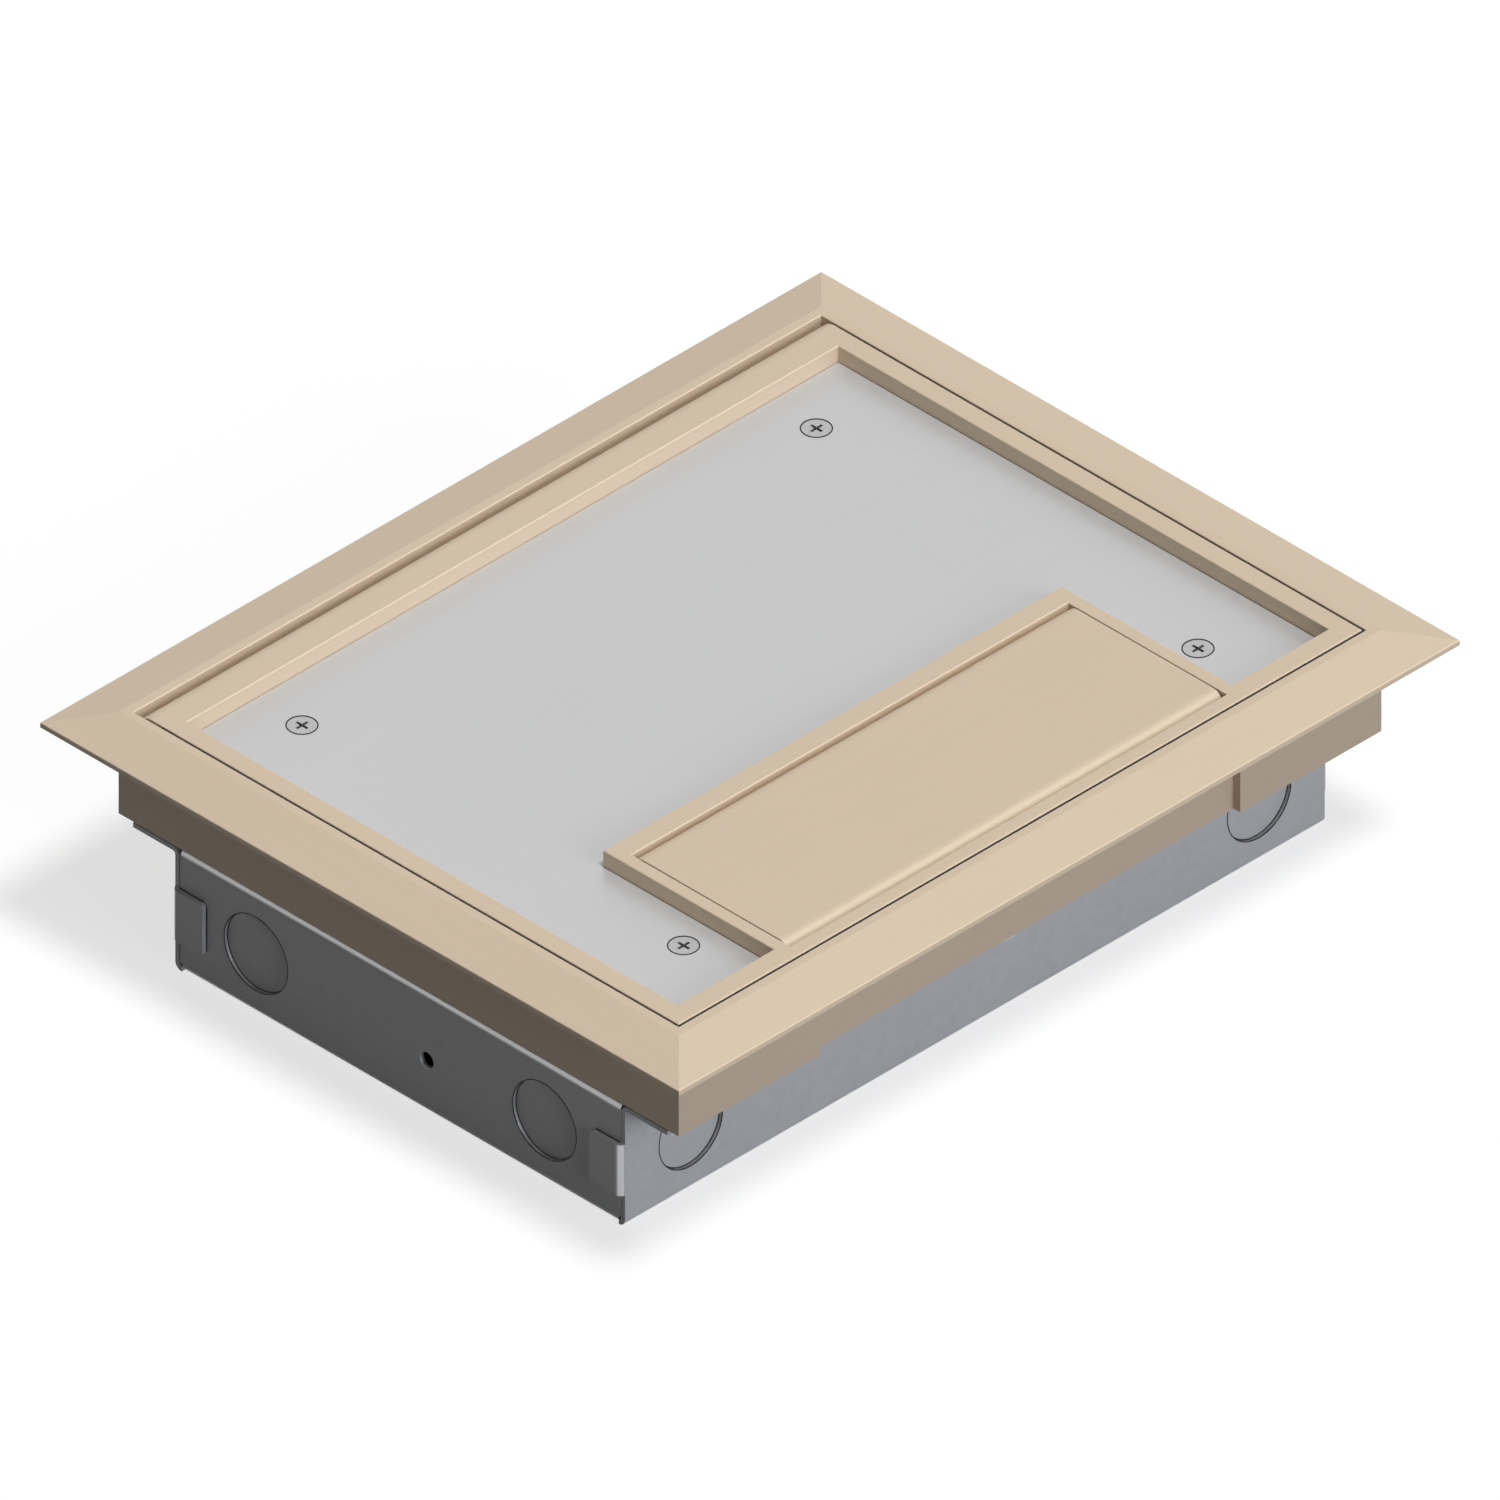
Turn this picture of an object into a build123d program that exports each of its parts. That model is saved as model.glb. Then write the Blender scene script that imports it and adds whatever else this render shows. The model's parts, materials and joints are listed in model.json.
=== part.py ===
from build123d import *
import os

# Floor socket box with a hinged lid and a hinged cable flap. All sizes are in millimetres.
# X runs along the long side, -Y is the flap side, +Y the hinge side, and Z = 0 is the box's underside.

# Trim frame that covers the edge of the floor cut-out
trim_length = 307.0
trim_width = 251.0
lip_edge = 1.7
bevel_run = 15.4
bevel_rise = 3.6
top_land = 3.0
leg_height = 29.2
leg_thickness = 5.0
leg_notch_end_inset = 55.5
leg_notch_depth = 2.8
leg_notch_height = 18.0
lid_ledge_width = 5.85
lid_ledge_thickness = 3.0
screw_ledge_thickness = 2.0
edge_round = 0.4
tiny = 0.01

# How far a cut runs past a face, and a joined form into its neighbour
overcut = 1.0

# Folded steel box
sheet = 1.5
bend_inside = 1.0
box_height = 41.1
box_end_inset = 0.6
flange_inset = 5.1
flange_width = 16.6
end_flange = 14.0
sheet_gap = 0.3
panel_side_gap = 0.4
tab_bottom = 10.8
tab_height = 17.3
tab_reach = 12.4
tab_corner = 1.2
knockout_diameter = 25.0
knockout_step = 1.2
knockout_boss_inset = 0.5
knockout_height = 20.6
wall_knockout_inset = 25.8
end_knockout_inset = 31.7
end_hole_diameter = 5.2
end_hole_offset = 10.5
end_hole_height = 18.0
floor_hole_diameter = 5.5
floor_hole_end_inset = 32.5
floor_hole_side_inset = 12.4

# Gasket, and the screws and nuts that hold the trim frame on the box
gasket_thickness = 1.0
gasket_inset = 0.4
frame_screw_diameter = 4.0
screw_clearance = 0.25
pan_head_diameter = 7.6
pan_head_height = 2.5
nut_across_flats = 7.0
nut_height = 3.2
screw_tail = 1.0
long_side_screw_inset = 27.0
flange_screw_inset = 6.5
end_screw_inset = 9.0
end_screw_spacing = 90.0
screw_ledge_reach = 6.5
end_screw_clear = 3.5

# Lid, with the surround of the flap in one piece with its frame
lid_depth = 9.0
lid_side_gap = 0.8
lid_front_gap = 0.9
lid_hinge_gap = 1.4
lid_side_rail = 6.3
lid_front_rail = 6.8
lid_rear_rail = 12.4
recess_depth = 5.5
plate_thickness = 2.0
plate_gap = 0.2
plate_ledge = 6.0
surround_end_inset = 38.0
surround_reach = 73.9
surround_side_bar = 4.2
surround_back_bar = 7.0
surround_front_bar = 4.6
surround_ledge = 4.5
seal_thickness = 1.2
seal_gap = 0.3
seal_side_gap = 0.3
lid_screw_front_inset = 24.4
lid_screw_rear_inset = 18.3
lid_screw_offset = 11.1
lid_screw_diameter = 4.0
lid_screw_head = 8.5
lid_screw_head_depth = 1.8
clamp_bar_width = 11.0
clamp_bar_thickness = 3.0
clamp_bar_overlap = 4.0
clamp_pad_diameter = 9.6
cross_length = 4.4
cross_width = 0.95
cross_depth = 1.3

# Hinge pins
lid_pin_diameter = 4.0
lid_pin_in_frame = 2.6
lid_pin_in_lid = 12.0
flap_pin_diameter = 3.0
flap_pin_in_surround = 3.2
flap_pin_in_flap = 10.0
pin_running_gap = 0.05
pin_end_gap = 0.2

# Flap
flap_side_gap = 0.4
flap_front_gap = 0.85
flap_hinge_gap = 0.3
flap_bead_radius = 4.0
flap_web = 3.0
flap_stop_length = 8.0
flap_stop_width = 3.0
flap_stop_gap = 0.3
flap_stop_inset = 12.0

# Dividers and accessory plates
divider_sheet = 1.2
divider_height = 28.5
divider_foot = 12.0
divider_foot_length = 120.0
accessory_plate_top = 32.0
accessory_plate_sheet = 1.5
accessory_side_gap = 2.2
accessory_end_gap = 1.4
accessory_corner = 3.0
pillar_diameter = 9.0
pillar_side_inset = 4.6
pillar_end_inset = 5.5
plate_screw_depth = 10.0

# Switched socket outlets, two on each power plate
socket_pitch = 76.0
socket_size = 62.0
socket_corner = 5.0
socket_face_height = 3.0
socket_face_round = 1.2
socket_body = 58.0
socket_body_depth = 22.0
socket_flange = 2.5
socket_fit_gap = 0.3
earth_offset = 5.0
pin_spacing = 22.2
live_slot_length = 7.2
live_slot_width = 4.9
earth_slot_length = 9.0
earth_slot_width = 4.9
shutter_thickness = 2.9
shutter_gap = 0.3
shutter_overlap = 0.35
shutter_travel = 5.6
shutter_end_room = 0.9
shutter_arm_width = 4.8
shutter_ramp_back = 1.1
shutter_ramp_length = 6.0
shutter_ramp_edge = 0.6
contact_well = 1.1
contact_sheet = 0.8
contact_gap = 3.8
contact_floor = 3.0
contact_head_room = 1.5
rocker_offset = 20.0
rocker_length = 13.8
rocker_width = 11.8
rocker_rise = 5.6
rocker_lip = 0.6
rocker_drop = 3.0
rocker_pivot_drop = 1.6
rocker_pin_diameter = 2.4
rocker_pin_reach = 1.5
rocker_side_gap = 0.3
rocker_end_gap = 0.8
rocker_tilt = 5.0

# Data outlets on the middle plate
jack_count = 4
jack_pitch = 36.0
jack_flange_length = 25.0
jack_flange_width = 20.0
jack_flange_height = 2.0
jack_flange_corner = 1.0
jack_body_length = 20.0
jack_body_width = 15.5
jack_body_depth = 16.0
jack_fit_gap = 0.3
jack_mouth_length = 11.7
jack_mouth_width = 7.6
jack_mouth_depth = 14.0
jack_key_length = 6.2
jack_key_width = 2.2

# Earth terminal on the floor of the middle compartment
terminal_length = 16.0
terminal_width = 10.0
terminal_height = 11.0
terminal_hole = 5.0
terminal_screw = 4.0

# Heights from the underside up
leg_bottom = box_height + gasket_thickness
lip_bottom = leg_bottom + leg_height
lip_top = lip_bottom + lip_edge
trim_top = lip_top + bevel_rise
lid_bottom = trim_top - lid_depth
lid_ledge_top = lid_bottom - seal_gap - seal_thickness
plate_top = trim_top - recess_depth
plate_bottom = plate_top - plate_thickness
flange_under = box_height - sheet
bend_outside = bend_inside + sheet

# Half sizes of the trim frame, its opening and the box, from the outside in
trim_x, trim_y = trim_length / 2, trim_width / 2
leg_x, leg_y = trim_x - bevel_run, trim_y - bevel_run
opening_x, opening_y = leg_x - top_land, leg_y - top_land
box_x = leg_x - box_end_inset
flange_y = leg_y - flange_inset
wall_y = flange_y - flange_width
inside_x, inside_y = box_x - sheet, wall_y - sheet
frame_screw_y = flange_y - flange_screw_inset
frame_screw_x = box_x - end_screw_inset

# Plan of the lid, its recess and the flap surround
lid_x = opening_x - lid_side_gap
lid_front = -(opening_y - lid_front_gap)
lid_pivot_y = opening_y - lid_hinge_gap - lid_depth / 2
lid_pivot_z = trim_top - lid_depth / 2
recess_x = lid_x - lid_side_rail
recess_front = lid_front + lid_front_rail
recess_rear = lid_pivot_y + lid_depth / 2 - lid_rear_rail
surround_x = recess_x - surround_end_inset
surround_back = lid_front + surround_reach
window_x = surround_x - surround_side_bar
window_back = surround_back - surround_back_bar
window_front = lid_front + surround_front_bar
lid_screw_x = surround_x + lid_screw_offset
lid_screw_rows = (recess_front + lid_screw_front_inset, recess_rear - lid_screw_rear_inset)

# Plan of the flap
flap_x = window_x - flap_side_gap
flap_pivot_y = window_back - flap_hinge_gap - flap_bead_radius
flap_front_bead_y = window_front + flap_front_gap + flap_bead_radius
flap_pivot_z = trim_top - flap_bead_radius

# Three equal compartments, each with its accessory plate
compartment = 2 * inside_x / 3
divider_x = compartment / 2
accessory_x = compartment / 2 - accessory_side_gap
accessory_y = inside_y - accessory_end_gap
pillar_x = accessory_x - pillar_side_inset
pillar_y = accessory_y - pillar_end_inset
accessory_under = accessory_plate_top - accessory_plate_sheet
live_offset = earth_offset - pin_spacing


def span(x, y, z):
    """A box between two values on each axis."""
    pairs = [sorted(pair) for pair in (x, y, z)]
    centre = [(low + high) / 2 for low, high in pairs]
    return Pos(*centre) * Box(*[high - low for low, high in pairs])


def slab(half_x, half_y, low, high):
    """A box centred on the Z axis, from one height to another."""
    return span((-half_x, half_x), (-half_y, half_y), (low, high))


def rod_x(radius, low, high, y, z):
    """A cylinder along X."""
    return Pos((low + high) / 2, y, z) * Rot(0, 90, 0) * Cylinder(radius, abs(high - low))


def rod_y(radius, x, low, high, z):
    """A cylinder along Y."""
    return Pos(x, (low + high) / 2, z) * Rot(90, 0, 0) * Cylinder(radius, abs(high - low))


def rod_z(radius, x, y, low, high):
    """A cylinder along Z."""
    return Pos(x, y, (low + high) / 2) * Cylinder(radius, high - low)


def folded(points, radii, thickness=sheet):
    """The section of a folded sheet that lies to the left of a line along one of its faces."""
    face_line = FilletPolyline(*points, radius=radii)
    outline = offset(face_line, amount=thickness, side=Side.LEFT, closed=True)
    return make_face(outline.edges())


def corners(x, y):
    """The four corners of a rectangle about the Z axis."""
    return [(-x, -y), (x, -y), (-x, y), (x, y)]


def turned(piece):
    """The same piece turned half way round the Z axis."""
    return Rot(0, 0, 180) * piece


def cross_recess(x, y, top):
    """The two crossed slots of a screw head."""
    arms = Box(cross_length, cross_width, cross_depth) + Box(cross_width, cross_length, cross_depth)
    return Pos(x, y, top - cross_depth / 2) * arms


def pan_screw(x, y, seat, length, diameter=frame_screw_diameter):
    """A pan-head screw whose head sits on a face at the height of its seat."""
    head = Cylinder(pan_head_diameter / 2, pan_head_height)
    head = fillet(head.edges().group_by(Axis.Z)[-1], pan_head_height / 3)
    head = Pos(x, y, seat + pan_head_height / 2) * head
    shank = rod_z(diameter / 2, x, y, seat - length, seat)
    return head + shank - cross_recess(x, y, seat + pan_head_height)


def frame_screw_places():
    """The plan of the screws that join the trim frame and the box."""
    long_x = box_x - long_side_screw_inset
    places = [(x, side * frame_screw_y) for x in (-long_x, 0, long_x) for side in (-1, 1)]
    places += corners(frame_screw_x, end_screw_spacing / 2)
    return places


def knockout(face, inward, place, across):
    """The stepped disc of a cable entry, as the cut outside and the boss inside."""
    step_out, step_in = face, face + inward * knockout_step
    boss_out, boss_in = face + inward * sheet, face + inward * (sheet + knockout_step)
    radius = knockout_diameter / 2
    if across == "x":
        cut = rod_x(radius, step_out, step_in, place, knockout_height)
        boss = rod_x(radius - knockout_boss_inset, boss_out, boss_in, place, knockout_height)
    else:
        cut = rod_y(radius, place, step_out, step_in, knockout_height)
        boss = rod_y(radius - knockout_boss_inset, place, boss_out, boss_in, knockout_height)
    return cut, boss


def corner_tab():
    """The tab at the +X, -Y corner, folded from the long wall over the end panel."""
    face = box_x + sheet_gap + sheet
    root = box_x - bend_outside
    end = -(wall_y - tab_reach)
    section = folded([(root, -wall_y), (face, -wall_y), (face, end)], [bend_outside])
    tab = Pos(0, 0, tab_bottom) * extrude(section, amount=tab_height)
    free = [e for e in tab.edges().filter_by(Axis.X) if abs(e.center().Y - end) < edge_round]
    return fillet(free, tab_corner)


def box_channel():
    """Floor, long walls and outward flanges, folded from one sheet, with a tab at each corner."""
    line = [(-flange_y, flange_under), (-wall_y, flange_under), (-wall_y, 0)]
    line += [(-y, z) for y, z in reversed(line)]
    radii = [bend_inside, bend_outside, bend_outside, bend_inside]
    channel = extrude(Plane.YZ * folded(line, radii), amount=box_x, both=True)
    cut_back = box_x - end_flange - sheet_gap
    for side in (-1, 1):
        channel -= span((side * cut_back, side * (box_x + overcut)),
                        (-wall_y + bend_outside, wall_y - bend_outside), (-overcut, sheet + edge_round))
    tab = corner_tab()
    for piece in (tab, mirror(tab, Plane.XZ)):
        channel += [piece, mirror(piece, Plane.YZ)]
    for x in (-box_x + wall_knockout_inset, box_x - wall_knockout_inset):
        for side in (-1, 1):
            cut, boss = knockout(side * wall_y, -side, x, "y")
            channel = channel - cut + boss
    for x, y in corners(box_x - floor_hole_end_inset, wall_y - floor_hole_side_inset):
        channel -= rod_z(floor_hole_diameter / 2, x, y, -overcut, sheet + overcut)
    for x, y in frame_screw_places():
        if abs(y) > wall_y:
            channel -= rod_z(frame_screw_diameter / 2 + screw_clearance, x, y, flange_under - overcut,
                             box_height + overcut)
    return channel


def end_panel():
    """The end panel at -X, with its top and bottom edges folded inwards."""
    inner = -box_x + end_flange
    line = [(inner, 0), (-box_x, 0), (-box_x, box_height), (inner, box_height)]
    section = folded(list(reversed(line)), [bend_outside, bend_outside])
    half = inside_y - panel_side_gap
    panel = extrude(Plane.XZ * section, amount=half, both=True)
    foot = wall_y - bend_outside - sheet_gap
    for side in (-1, 1):
        panel -= span((-box_x - overcut, inner + overcut), (side * foot, side * (half + overcut)),
                      (-overcut, bend_outside + sheet_gap))
        cut, boss = knockout(-box_x, 1, side * (wall_y - end_knockout_inset), "x")
        panel = panel - cut + boss
        panel -= rod_z(frame_screw_diameter / 2 + screw_clearance, -frame_screw_x, side * end_screw_spacing / 2,
                       flange_under - overcut, box_height + overcut)
    panel -= rod_x(end_hole_diameter / 2, -box_x - overcut, -inside_x + overcut, -end_hole_offset, end_hole_height)
    return panel


def divider():
    """The upright sheet between two compartments at +X, with a foot towards the middle."""
    line = [(divider_x - divider_foot, sheet), (divider_x, sheet), (divider_x, sheet + divider_height)]
    bend = bend_inside + divider_sheet
    section = folded(line, [bend], divider_sheet)
    wall = extrude(Plane.XZ * section, amount=wall_y - bend_outside - sheet_gap, both=True)
    for side in (-1, 1):
        wall -= span((divider_x - divider_foot - overcut, divider_x - bend),
                     (side * divider_foot_length / 2, side * inside_y),
                     (sheet - overcut, sheet + divider_sheet + overcut))
    return wall


def plate_screw_places():
    """The plan of the screws and pillars of all three accessory plates."""
    return [(column * compartment + x, y) for column in (-1, 0, 1) for x, y in corners(pillar_x, pillar_y)]


def plate_pillars():
    """The round pillars that carry the accessory plates."""
    pillars = []
    for x, y in plate_screw_places():
        pillar = rod_z(pillar_diameter / 2, x, y, sheet, accessory_under)
        hole_bottom = accessory_plate_top - plate_screw_depth
        pillars.append(pillar - rod_z(frame_screw_diameter / 2, x, y, hole_bottom, accessory_under + overcut))
    return pillars


def plate_screws():
    """The screws that hold the accessory plates on their pillars."""
    return [pan_screw(x, y, accessory_plate_top, plate_screw_depth) for x, y in plate_screw_places()]


def accessory_plate(column):
    """A blank plate over one compartment, with its four screw holes."""
    outline = RectangleRounded(2 * accessory_x, 2 * accessory_y, accessory_corner)
    plate = Pos(column * compartment, 0, accessory_under) * extrude(outline, amount=accessory_plate_sheet)
    for x, y in corners(pillar_x, pillar_y):
        plate -= rod_z(frame_screw_diameter / 2 + screw_clearance, column * compartment + x, y,
                       accessory_under - overcut, accessory_plate_top + overcut)
    return plate


def power_plate(column):
    """A plate with the cut-outs of two socket outlets."""
    plate = accessory_plate(column)
    half = socket_body / 2 + socket_fit_gap
    for side in (-1, 1):
        plate -= Pos(column * compartment, side * socket_pitch / 2, 0) * slab(half, half, 0, box_height)
    return plate


def jack_places():
    """Where the data outlets lie along the middle plate."""
    return [jack_pitch * (i - (jack_count - 1) / 2) for i in range(jack_count)]


def data_plate():
    """The middle plate, with the cut-outs of the data outlets."""
    plate = accessory_plate(0)
    for y in jack_places():
        plate -= Pos(0, y, 0) * slab(jack_body_length / 2 + jack_fit_gap, jack_body_width / 2 + jack_fit_gap,
                                     0, box_height)
    return plate


def data_jacks():
    """The moulded data outlets, each with an open mouth and a latch key."""
    top = accessory_plate_top + jack_flange_height
    jacks = []
    for y in jack_places():
        outline = RectangleRounded(jack_flange_length, jack_flange_width, jack_flange_corner)
        flange = extrude(outline, amount=jack_flange_height)
        flange = fillet(flange.edges().group_by(Axis.Z)[-1], edge_round)
        jack = Pos(0, 0, accessory_plate_top) * flange
        jack += slab(jack_body_length / 2, jack_body_width / 2, top - jack_body_depth - jack_flange_height,
                     top - overcut)
        jack -= slab(jack_mouth_length / 2, jack_mouth_width / 2, top - jack_mouth_depth, top + overcut)
        key_edge = jack_mouth_width / 2
        jack -= span((-jack_key_length / 2, jack_key_length / 2), (key_edge - overcut, key_edge + jack_key_width),
                     (top - jack_mouth_depth, top + overcut))
        jacks.append(Pos(0, y, 0) * jack)
    return jacks


def slots(low, high, grow=0.0):
    """The three pin openings of a socket, as solids between two heights."""
    live_x, live_y = live_slot_length / 2 + grow, live_slot_width / 2 + grow
    earth_x, earth_y = earth_slot_width / 2 + grow, earth_slot_length / 2 + grow
    cuts = [Pos(side * pin_spacing / 2, live_offset, 0) * slab(live_x, live_y, low, high) for side in (-1, 1)]
    return cuts + [Pos(0, earth_offset, 0) * slab(earth_x, earth_y, low, high)]


def rocker_window(low, high):
    """The opening that the rocker moves in."""
    x, y = rocker_width / 2 + rocker_side_gap, rocker_length / 2 + rocker_end_gap
    return Pos(0, rocker_offset, 0) * slab(x, y, low, high)


def socket_face():
    """The front moulding of a socket outlet, centred on the Z axis."""
    face = extrude(RectangleRounded(socket_size, socket_size, socket_corner), amount=socket_face_height)
    face = fillet(face.edges().group_by(Axis.Z)[-1], socket_face_round)
    face = Pos(0, 0, accessory_plate_top) * face
    low, high = accessory_plate_top - overcut, accessory_plate_top + socket_face_height + overcut
    for cut in slots(low, high) + [rocker_window(low, high)]:
        face -= cut
    return face


def socket_base():
    """The rear housing, with the shutter's track, the contacts' wells and the rocker's well."""
    top = accessory_plate_top
    base = slab(socket_body / 2, socket_body / 2, top - socket_body_depth, top)
    base += slab(socket_size / 2, socket_size / 2, accessory_under - socket_flange, accessory_under)
    track = top - shutter_thickness - 2 * shutter_gap
    shutter_x = pin_spacing / 2 + live_slot_length / 2 + shutter_overlap + shutter_gap
    far = live_offset - live_slot_width / 2 - shutter_overlap - shutter_travel - shutter_end_room
    near = earth_offset + earth_slot_length / 2 + shutter_gap
    base -= span((-shutter_x, shutter_x), (far, near), (track, top + overcut))
    floor = top - socket_body_depth + contact_floor
    for well in slots(floor, track + overcut, contact_well):
        base -= well
    base -= rocker_window(floor, top + overcut)
    pin = rocker_pin_diameter / 2 + pin_running_gap
    pin_x = rocker_width / 2 + rocker_pin_reach + shutter_gap
    pivot = top - rocker_pivot_drop
    base -= rod_x(pin, -pin_x, pin_x, rocker_offset, pivot)
    base -= span((-pin_x, pin_x), (rocker_offset - pin, rocker_offset + pin), (pivot, top + overcut))
    return base


def socket_contacts():
    """The three brass clips that grip a plug's pins."""
    low = accessory_plate_top - socket_body_depth + contact_floor
    high = accessory_plate_top - shutter_thickness - 2 * shutter_gap - contact_head_room
    grip = contact_gap / 2
    outer = grip + contact_sheet
    inside = (low + contact_sheet, high + overcut)
    clips = []
    for x in (-pin_spacing / 2, 0, pin_spacing / 2):
        if x == 0:
            reach = earth_slot_length / 2
            clip = slab(outer, reach, low, high) - slab(grip, reach + overcut, *inside)
            clips.append(Pos(x, earth_offset, 0) * clip)
        else:
            reach = live_slot_length / 2
            clip = slab(reach, outer, low, high) - slab(reach + overcut, grip, *inside)
            clips.append(Pos(x, live_offset, 0) * clip)
    return clips


def shutter():
    """The sliding shutter, with the ramp that an earth pin pushes."""
    low = accessory_plate_top - shutter_gap - shutter_thickness
    high = low + shutter_thickness
    half_x = pin_spacing / 2 + live_slot_length / 2 + shutter_overlap
    half_y = live_slot_width / 2 + shutter_overlap
    ramp_start = earth_offset - earth_slot_length / 2 - shutter_ramp_back
    ramp_end = ramp_start + shutter_ramp_length
    plate = Pos(0, live_offset, 0) * slab(half_x, half_y, low, high)
    side = [(live_offset, low), (live_offset, high), (ramp_start, high), (ramp_end, low + shutter_ramp_edge),
            (ramp_end, low)]
    arm = extrude(Plane.YZ * make_face(Polyline(*side, close=True).edges()), amount=shutter_arm_width / 2, both=True)
    return plate + arm


def rocker():
    """The switch rocker at rest, with its two trunnions, tilted about its pivot."""
    half = rocker_length / 2
    side = [(-half, rocker_rise + rocker_lip), (0, rocker_rise), (half, rocker_rise + rocker_lip),
            (half - rocker_lip, 0), (0, -rocker_drop), (-half + rocker_lip, 0)]
    body = extrude(Plane.YZ * make_face(Polyline(*side, close=True).edges()), amount=rocker_width / 2, both=True)
    body = fillet([e for e in body.edges() if e.center().Z > rocker_rise / 2 and abs(e.center().Y) > tiny
                   or e.center().Z > rocker_rise - tiny and abs(abs(e.center().X) - rocker_width / 2) < tiny],
                  edge_round)
    reach = rocker_width / 2 + rocker_pin_reach
    body += rod_x(rocker_pin_diameter / 2, -reach, reach, 0, 0)
    return Pos(0, rocker_offset, accessory_plate_top - rocker_pivot_drop) * Rot(rocker_tilt, 0, 0) * body


def earth_terminal():
    """The brass terminal block on the box's floor, with its clamping screw."""
    top = sheet + terminal_height
    block = slab(terminal_length / 2, terminal_width / 2, sheet, top)
    block -= rod_y(terminal_hole / 2, 0, -terminal_width, terminal_width, sheet + terminal_height / 2)
    for x in (-terminal_length / 4, terminal_length / 4):
        block += rod_z(terminal_screw / 2, x, 0, top - overcut, top + terminal_screw / 2)
    return block


def frame_gasket():
    """The flat gasket between the trim frame's screw ledge and the box's flanges."""
    gasket = slab(box_x - gasket_inset, flange_y - gasket_inset, box_height, leg_bottom)
    gasket -= slab(frame_screw_x - end_screw_clear, frame_screw_y - screw_ledge_reach, 0, trim_top)
    for x, y in frame_screw_places():
        gasket -= rod_z(frame_screw_diameter / 2 + screw_clearance, x, y, box_height - overcut, leg_bottom + overcut)
    return gasket


def trim_frame():
    """The bevelled trim frame with its leg, the lid's ledge and the screw ledge, in one piece."""
    crown_low = Pos(0, 0, lip_top) * Rectangle(2 * trim_x, 2 * trim_y)
    crown_high = Pos(0, 0, trim_top) * Rectangle(2 * leg_x, 2 * leg_y)
    frame = slab(trim_x, trim_y, lip_bottom, lip_top) + loft([crown_low, crown_high], ruled=True)
    frame += slab(leg_x, leg_y, leg_bottom, lip_bottom)
    for side in (-1, 1):
        frame -= span((-leg_x + leg_notch_end_inset, leg_x - leg_notch_end_inset),
                      (side * (leg_y - leg_notch_depth), side * (leg_y + overcut)),
                      (leg_bottom - overcut, leg_bottom + leg_notch_height))
    frame -= slab(opening_x, opening_y, lid_ledge_top, trim_top + overcut)
    frame -= slab(opening_x - lid_ledge_width, opening_y - lid_ledge_width, leg_bottom, lid_ledge_top + overcut)
    frame -= slab(leg_x - leg_thickness, leg_y - leg_thickness, leg_bottom + screw_ledge_thickness,
                  lid_ledge_top - lid_ledge_thickness)
    ledge_x, ledge_y = frame_screw_x - end_screw_clear, frame_screw_y - screw_ledge_reach
    frame += (slab(leg_x - overcut, leg_y - leg_notch_depth - overcut, leg_bottom, leg_bottom + screw_ledge_thickness)
              - slab(ledge_x, ledge_y, 0, trim_top))
    for x, y in frame_screw_places():
        frame -= rod_z(frame_screw_diameter / 2 + screw_clearance, x, y, leg_bottom - overcut,
                       leg_bottom + screw_ledge_thickness + overcut)
    frame -= rod_x(lid_pin_diameter / 2, -opening_x - lid_pin_in_frame, opening_x + lid_pin_in_frame,
                   lid_pivot_y, lid_pivot_z)
    opening_edges = [e for e in edges_at(frame, trim_top) if on_rectangle(e, opening_x, opening_y)]
    lip_edges = [e for e in edges_at(frame, lip_top) if on_rectangle(e, trim_x, trim_y)]
    return fillet(opening_edges + lip_edges, edge_round)


def edges_at(piece, height):
    """The level edges of a piece at one height."""
    level = [e for e in piece.edges() if abs(e.bounding_box().size.Z) < tiny]
    return [e for e in level if abs(e.center().Z - height) < tiny]


def on_rectangle(edge, half_x, half_y):
    """Whether a straight edge lies on the outline of a rectangle about the Z axis."""
    centre = edge.center()
    return abs(abs(centre.X) - half_x) < tiny or abs(abs(centre.Y) - half_y) < tiny


def frame_screws():
    """The screws that go down through the ledge, gasket and flange into their nuts."""
    seat = leg_bottom + screw_ledge_thickness
    length = screw_ledge_thickness + gasket_thickness + sheet + nut_height + screw_tail
    return [pan_screw(x, y, seat, length) for x, y in frame_screw_places()]


def frame_nuts():
    """The hexagon nuts under the box's flanges."""
    nuts = []
    for x, y in frame_screw_places():
        hexagon = RegularPolygon(nut_across_flats / 2, 6, major_radius=False)
        nut = Pos(x, y, flange_under - nut_height) * extrude(hexagon, amount=nut_height)
        nuts.append(nut - rod_z(frame_screw_diameter / 2, x, y, 0, box_height))
    return nuts


def lid_seal():
    """The foam strip on the ledge that the lid closes on."""
    outer = slab(opening_x - seal_side_gap, opening_y - seal_side_gap, lid_ledge_top, lid_ledge_top + seal_thickness)
    return outer - slab(opening_x - lid_ledge_width, opening_y - lid_ledge_width, 0, trim_top)


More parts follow.
